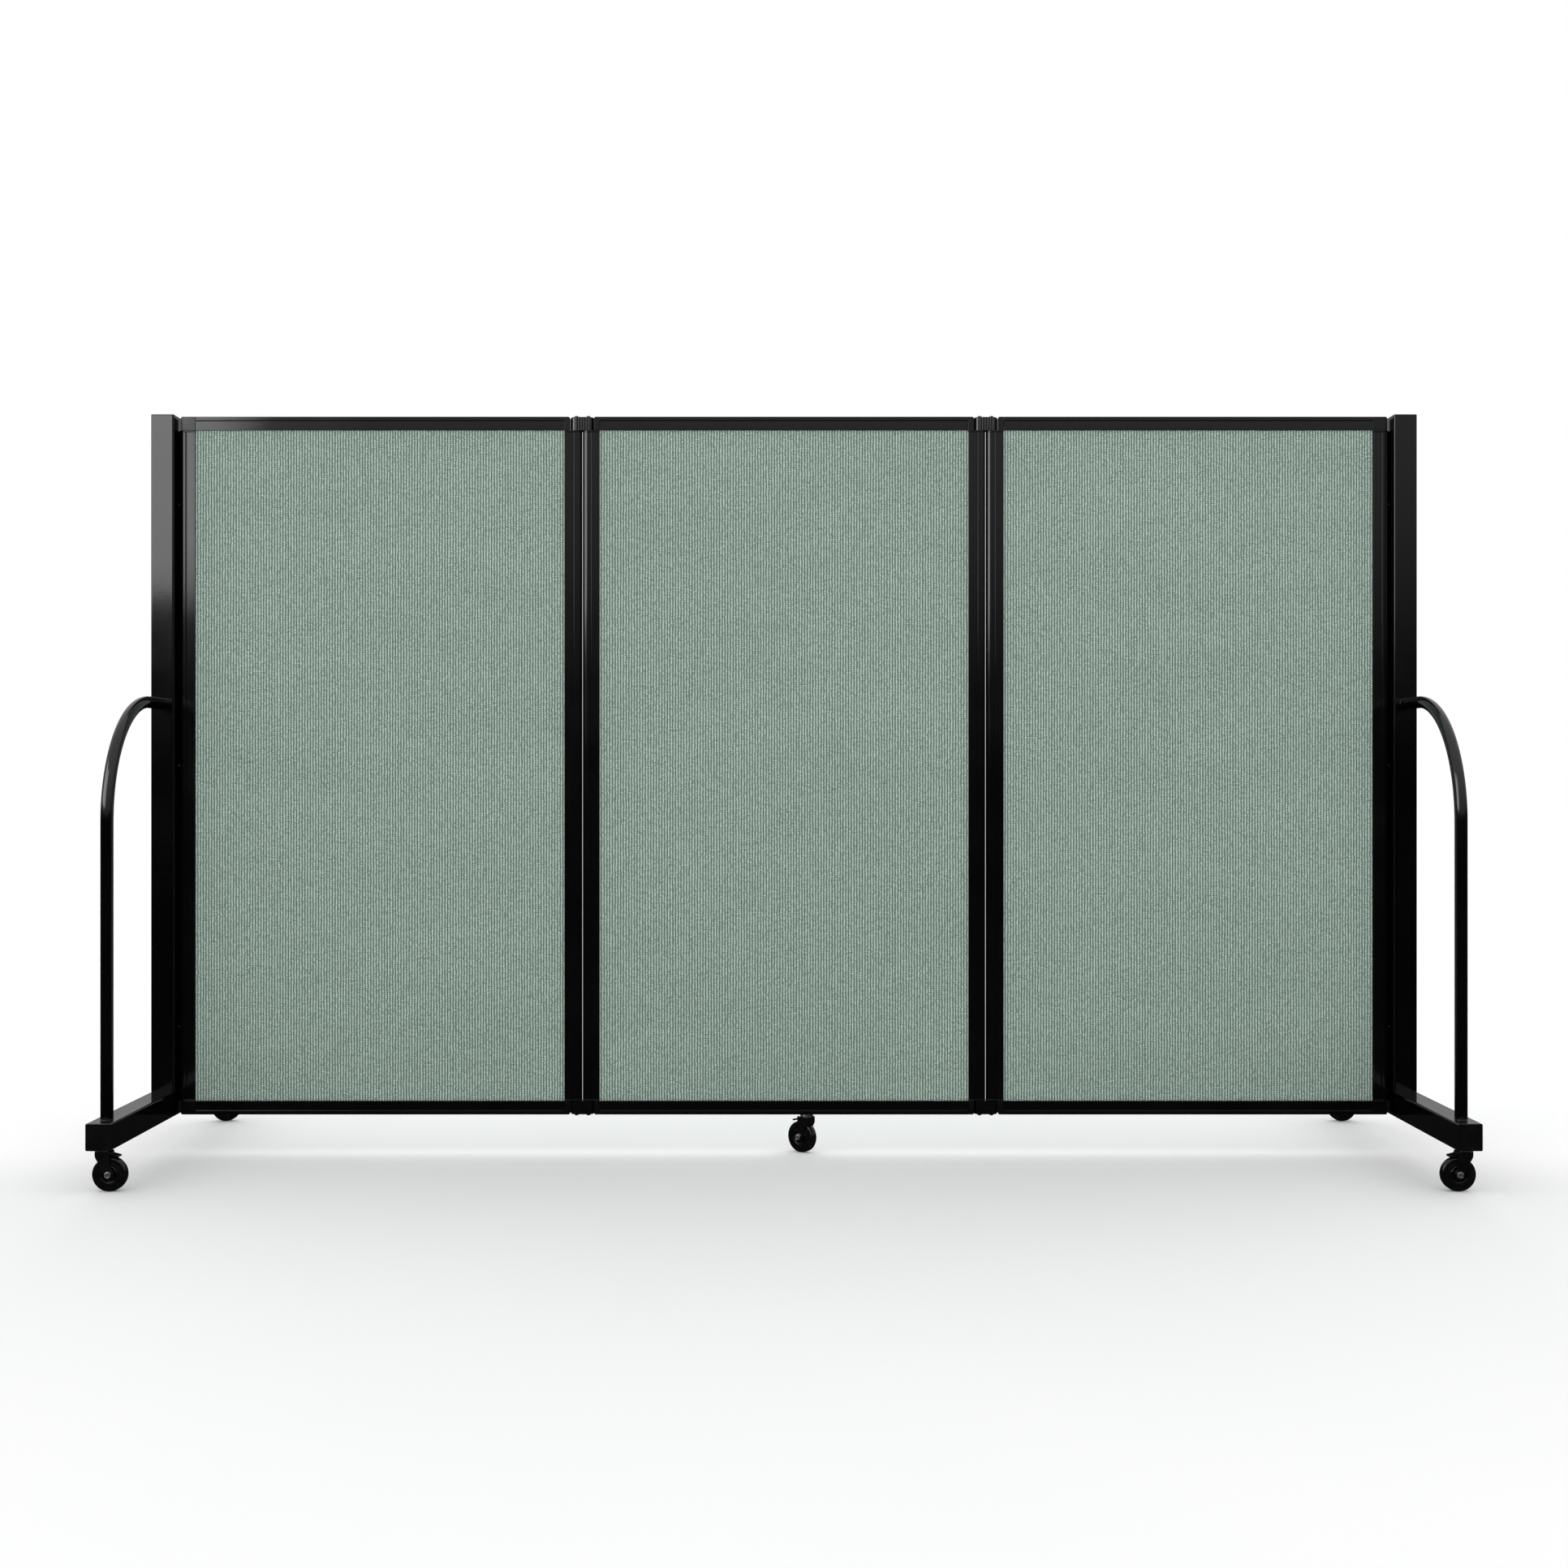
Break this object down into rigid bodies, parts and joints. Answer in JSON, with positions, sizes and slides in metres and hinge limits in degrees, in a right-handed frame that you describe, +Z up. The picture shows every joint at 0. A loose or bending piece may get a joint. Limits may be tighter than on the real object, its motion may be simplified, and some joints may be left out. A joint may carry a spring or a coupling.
{
  "type": "folding partition wall",
  "caption": "Low folding partition wall: hinged fabric panels in a black frame between end frames with curved tube handles, standing on swivel casters.",
  "frame": {"origin": "on the floor under the middle of the wall", "axes": "+X along the wall to the right as seen from the front, +Y towards the back, +Z up"},
  "size_m": [1.7398, 0.5394, 1.0212],
  "materials": {
    "black_paint": "gloss",
    "black_extrusion": "gloss black paint",
    "black_plastic": "gloss",
    "panel_fabric": "ribbed weave",
    "board": "bare",
    "wheel_rubber": "smooth",
    "zinc": "bright zinc"
  },
  "bodies": {
    "centre_panel": {"centre_top_rail": "black_extrusion", "centre_bottom_rail": "black_extrusion", "centre_stiles": "black_extrusion", "centre_corner_caps": "black_plastic", "centre_core_board": "board", "centre_panel_front_fabric": "panel_fabric", "centre_panel_back_fabric": "panel_fabric", "centre_caster_stem": "zinc"},
    "left_link": {"left_link_blocks": "black_plastic", "left_hinge_pins": "black_paint"},
    "left_end": {"left_top_rail": "black_extrusion", "left_bottom_rail": "black_extrusion", "left_stiles": "black_extrusion", "left_corner_caps": "black_plastic", "left_core_board": "board", "left_panel_front_fabric": "panel_fabric", "left_panel_back_fabric": "panel_fabric", "left_post": "black_paint", "left_foot": "black_paint", "left_tube_plugs": "black_plastic", "left_handles": "black_paint", "left_panel_screws": "zinc", "left_caster_stems": "zinc"},
    "right_link": {"right_link_blocks": "black_plastic", "right_hinge_pins": "black_paint"},
    "right_end": {"right_top_rail": "black_extrusion", "right_bottom_rail": "black_extrusion", "right_stiles": "black_extrusion", "right_corner_caps": "black_plastic", "right_core_board": "board", "right_panel_front_fabric": "panel_fabric", "right_panel_back_fabric": "panel_fabric", "right_post": "black_paint", "right_foot": "black_paint", "right_tube_plugs": "black_plastic", "right_handles": "black_paint", "right_panel_screws": "zinc", "right_caster_stems": "zinc"},
    "left_front_swivel": {"left_front_caster_fork": "black_paint", "left_front_caster_axle_bolt": "zinc"},
    "left_front_wheel": {"left_front_caster_wheel": "wheel_rubber"},
    "left_front_pedal": {"left_front_caster_brake_pedal": "black_plastic"},
    "left_back_swivel": {"left_back_caster_fork": "black_paint", "left_back_caster_axle_bolt": "zinc"},
    "left_back_wheel": {"left_back_caster_wheel": "wheel_rubber"},
    "left_back_pedal": {"left_back_caster_brake_pedal": "black_plastic"},
    "right_front_swivel": {"right_front_caster_fork": "black_paint", "right_front_caster_axle_bolt": "zinc"},
    "right_front_wheel": {"right_front_caster_wheel": "wheel_rubber"},
    "right_front_pedal": {"right_front_caster_brake_pedal": "black_plastic"},
    "right_back_swivel": {"right_back_caster_fork": "black_paint", "right_back_caster_axle_bolt": "zinc"},
    "right_back_wheel": {"right_back_caster_wheel": "wheel_rubber"},
    "right_back_pedal": {"right_back_caster_brake_pedal": "black_plastic"},
    "centre_swivel": {"centre_caster_fork": "black_paint", "centre_caster_axle_bolt": "zinc"},
    "centre_wheel": {"centre_caster_wheel": "wheel_rubber"},
    "centre_pedal": {"centre_caster_brake_pedal": "black_plastic"}
  },
  "joints": [
    {"name": "left_link_turn", "type": "hinge", "parent": "centre_panel", "child": "left_link", "pos_m": [-0.27115, 0, 1.009], "axis": [0, 0, 1], "range_deg": [-90, 90]},
    {"name": "left_panel_turn", "type": "hinge", "parent": "left_link", "child": "left_end", "pos_m": [-0.28765, 0, 1.009], "axis": [0, 0, 1], "range_deg": [-90, 90]},
    {"name": "right_link_turn", "type": "hinge", "parent": "centre_panel", "child": "right_link", "pos_m": [0.27115, 0, 1.009], "axis": [0, 0, 1], "range_deg": [-90, 90]},
    {"name": "right_panel_turn", "type": "hinge", "parent": "right_link", "child": "right_end", "pos_m": [0.28765, 0, 1.009], "axis": [0, 0, 1], "range_deg": [-90, 90]},
    {"name": "left_front_swivel_turn", "type": "hinge", "parent": "left_end", "child": "left_front_swivel", "pos_m": [-0.85408, -0.248, 0.0503], "axis": [0, 0, 1], "continuous": true},
    {"name": "left_front_wheel_spin", "type": "hinge", "parent": "left_front_swivel", "child": "left_front_wheel", "pos_m": [-0.84608, -0.248, 0.0215], "axis": [0, 1, 0], "continuous": true},
    {"name": "left_front_brake_press", "type": "hinge", "parent": "left_front_swivel", "child": "left_front_pedal", "pos_m": [-0.84547, -0.248, 0.0469], "axis": [0, 1, 0], "range_deg": [0, 12]},
    {"name": "left_back_swivel_turn", "type": "hinge", "parent": "left_end", "child": "left_back_swivel", "pos_m": [-0.85408, 0.248, 0.0503], "axis": [0, 0, 1], "continuous": true},
    {"name": "left_back_wheel_spin", "type": "hinge", "parent": "left_back_swivel", "child": "left_back_wheel", "pos_m": [-0.84608, 0.248, 0.0215], "axis": [0, 1, 0], "continuous": true},
    {"name": "left_back_brake_press", "type": "hinge", "parent": "left_back_swivel", "child": "left_back_pedal", "pos_m": [-0.84547, 0.248, 0.0469], "axis": [0, 1, 0], "range_deg": [0, 12]},
    {"name": "right_front_swivel_turn", "type": "hinge", "parent": "right_end", "child": "right_front_swivel", "pos_m": [0.85408, -0.248, 0.0503], "axis": [0, 0, 1], "continuous": true},
    {"name": "right_front_wheel_spin", "type": "hinge", "parent": "right_front_swivel", "child": "right_front_wheel", "pos_m": [0.84608, -0.248, 0.0215], "axis": [0, -1, 0], "continuous": true},
    {"name": "right_front_brake_press", "type": "hinge", "parent": "right_front_swivel", "child": "right_front_pedal", "pos_m": [0.84547, -0.248, 0.0469], "axis": [0, -1, 0], "range_deg": [0, 12]},
    {"name": "right_back_swivel_turn", "type": "hinge", "parent": "right_end", "child": "right_back_swivel", "pos_m": [0.85408, 0.248, 0.0503], "axis": [0, 0, 1], "continuous": true},
    {"name": "right_back_wheel_spin", "type": "hinge", "parent": "right_back_swivel", "child": "right_back_wheel", "pos_m": [0.84608, 0.248, 0.0215], "axis": [0, -1, 0], "continuous": true},
    {"name": "right_back_brake_press", "type": "hinge", "parent": "right_back_swivel", "child": "right_back_pedal", "pos_m": [0.84547, 0.248, 0.0469], "axis": [0, -1, 0], "range_deg": [0, 12]},
    {"name": "centre_swivel_turn", "type": "hinge", "parent": "centre_panel", "child": "centre_swivel", "pos_m": [0.0315, 0, 0.0503], "axis": [0, 0, 1], "continuous": true},
    {"name": "centre_wheel_spin", "type": "hinge", "parent": "centre_swivel", "child": "centre_wheel", "pos_m": [0.02537, 0.00514, 0.0215], "axis": [-0.6428, -0.766, 0], "continuous": true},
    {"name": "centre_brake_press", "type": "hinge", "parent": "centre_swivel", "child": "centre_pedal", "pos_m": [0.02491, 0.00553, 0.0469], "axis": [-0.6428, -0.766, 0], "range_deg": [0, 12]}
  ]
}
